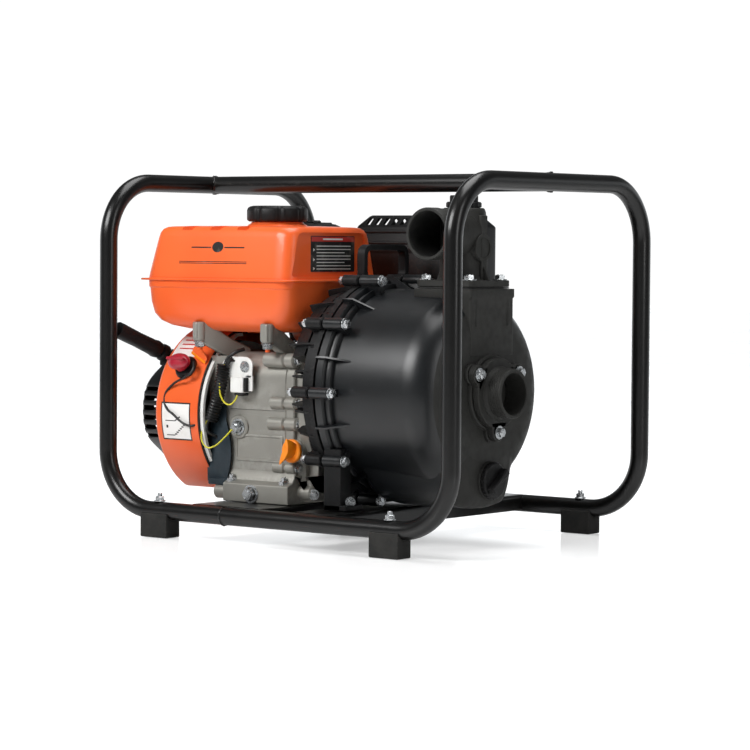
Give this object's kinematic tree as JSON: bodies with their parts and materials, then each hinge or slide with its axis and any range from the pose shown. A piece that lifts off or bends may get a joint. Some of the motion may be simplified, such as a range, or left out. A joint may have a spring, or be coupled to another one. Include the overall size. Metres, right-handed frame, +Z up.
{
  "type": "portable fire pump",
  "caption": "Petrol-engine water pump in a tube carrying frame: inclined-cylinder engine with recoil starter, round bolted casing, side suction port and top discharge elbow.",
  "frame": {"origin": "middle of the footprint, on the floor under the rubber feet", "axes": "+X along the crankshaft from the recoil starter to the pump's suction port, +Y towards the cylinder, air cleaner and silencer side, +Z up"},
  "size_m": [0.5548, 0.4168, 0.4472],
  "materials": {
    "frame_paint": "gloss",
    "foot_rubber": "matte",
    "zinc_fasteners": "bright zinc",
    "cast_aluminium": "as cast, satin",
    "machined_steel": "machined",
    "orange_paint": "gloss",
    "black_plastic": "satin moulded",
    "guard_paint": "satin, heat resistant",
    "switch_red": "gloss",
    "dipstick_yellow": "gloss",
    "shield_steel": "satin",
    "white_plastic": "satin",
    "seal_rubber": "matte",
    "plug_ceramic": "glazed",
    "filter_foam": "open-cell foam"
  },
  "bodies": {
    "frame": {"end_hoop_recoil_side": "frame_paint", "end_hoop_pump_side": "frame_paint", "top_rail": "frame_paint", "crossbar_engine": "frame_paint", "crossbar_pump": "frame_paint", "foot_recoil_near": "foot_rubber", "foot_bolt_recoil_near": "zinc_fasteners", "foot_recoil_far": "foot_rubber", "foot_bolt_recoil_far": "zinc_fasteners", "foot_pump_near": "foot_rubber", "foot_bolt_pump_near": "zinc_fasteners", "foot_pump_far": "foot_rubber", "foot_bolt_pump_far": "zinc_fasteners", "engine_block": "cast_aluminium", "crankcase_cover": "cast_aluminium", "cylinder_head": "cast_aluminium", "tank_bracket_recoil_side": "cast_aluminium", "tank_bracket_pump_side": "cast_aluminium", "carburettor": "cast_aluminium", "head_cover": "machined_steel", "silencer": "machined_steel", "spark_plug": "plug_ceramic", "plug_cap": "seal_rubber", "shaft_seal": "seal_rubber", "casing_gasket": "seal_rubber", "discharge_gasket": "seal_rubber", "fan_shroud": "orange_paint", "fuel_tank": "orange_paint", "recoil_housing": "black_plastic", "stop_switch_base": "black_plastic", "air_cleaner_base": "black_plastic", "air_cleaner_cover": "black_plastic", "pump_bracket": "black_plastic", "pump_body": "black_plastic", "volute": "black_plastic", "suction_port": "black_plastic", "discharge_elbow": "black_plastic", "side_plate": "shield_steel", "module_bracket": "zinc_fasteners", "oil_drain_bolt": "zinc_fasteners", "oil_alert_unit": "white_plastic", "air_filter_element": "filter_foam", "silencer_guard": "guard_paint"},
    "crank": {"crankshaft": "machined_steel", "flywheel": "cast_aluminium", "impeller": "black_plastic"},
    "piston_group": {"piston": "cast_aluminium", "wrist_pin": "machined_steel", "connecting_rod": "cast_aluminium"},
    "starter_reel": {"recoil_reel": "black_plastic"},
    "starter_handle": {"pull_handle": "black_plastic"},
    "stop_switch": {"stop_switch_knob": "switch_red"},
    "tank_cap": {"fuel_cap": "black_plastic"},
    "oil_dipstick": {"dipstick": "dipstick_yellow"},
    "choke": {"choke_lever": "machined_steel"},
    "fuel_tap": {"fuel_tap_lever": "machined_steel"},
    "throttle": {"throttle_lever": "machined_steel"},
    "filler_plug": {"fill_plug": "black_plastic"},
    "drain": {"drain_plug": "black_plastic"},
    "inlet_flap": {"check_flap": "seal_rubber"}
  },
  "joints": [
    {"name": "crank_turn", "type": "hinge", "parent": "frame", "child": "crank", "pos_m": [-0.095, -0.04, 0.15], "axis": [1, 0, 0], "continuous": true},
    {"name": "piston_stroke", "type": "slide", "parent": "frame", "child": "piston_group", "axis": [0, 0.9063, 0.4226], "range_m": [-0.054, 0]},
    {"name": "starter_pull", "type": "slide", "parent": "frame", "child": "starter_handle", "axis": [-1, 0, 0], "range_m": [0, 0.5]},
    {"name": "reel_turn", "type": "hinge", "parent": "frame", "child": "starter_reel", "pos_m": [-0.254, -0.04, 0.15], "axis": [1, 0, 0], "range_deg": [0, 573]},
    {"name": "stop_switch_turn", "type": "hinge", "parent": "frame", "child": "stop_switch", "pos_m": [-0.19, -0.13497, 0.2055], "axis": [0, -0.8634, 0.5045], "range_deg": [0, 60]},
    {"name": "tank_cap_turn", "type": "hinge", "parent": "frame", "child": "tank_cap", "pos_m": [-0.096, -0.073, 0.398], "axis": [0, 0, 1], "range_deg": [0, 90]},
    {"name": "dipstick_turn", "type": "hinge", "parent": "frame", "child": "oil_dipstick", "pos_m": [-0.022, -0.128, 0.11], "axis": [0, -1, 0], "range_deg": [0, 720]},
    {"name": "choke_turn", "type": "hinge", "parent": "frame", "child": "choke", "pos_m": [-0.185, 0.122, 0.262], "axis": [0, -1, 0], "range_deg": [0, 70]},
    {"name": "fuel_tap_turn", "type": "hinge", "parent": "frame", "child": "fuel_tap", "pos_m": [-0.165, 0.122, 0.244], "axis": [0, 1, 0], "range_deg": [0, 90]},
    {"name": "throttle_turn", "type": "hinge", "parent": "frame", "child": "throttle", "pos_m": [-0.205, 0.05, 0.23], "axis": [0, 0, 1], "range_deg": [0, 50]},
    {"name": "filler_plug_turn", "type": "hinge", "parent": "frame", "child": "filler_plug", "pos_m": [0.1667, -0.04, 0.406], "axis": [0, 0, 1], "range_deg": [0, 720]},
    {"name": "drain_plug_turn", "type": "hinge", "parent": "frame", "child": "drain", "pos_m": [0.2103, -0.04, 0.0815], "axis": [1, 0, 0], "range_deg": [0, 720]},
    {"name": "inlet_flap_swing", "type": "hinge", "parent": "frame", "child": "inlet_flap", "pos_m": [0.1945, -0.04, 0.217], "axis": [0, 1, 0], "range_deg": [0, 60]}
  ],
  "couplings": [
    {"joint": "reel_turn", "follows": "starter_pull", "rad_per_m": 20}
  ]
}
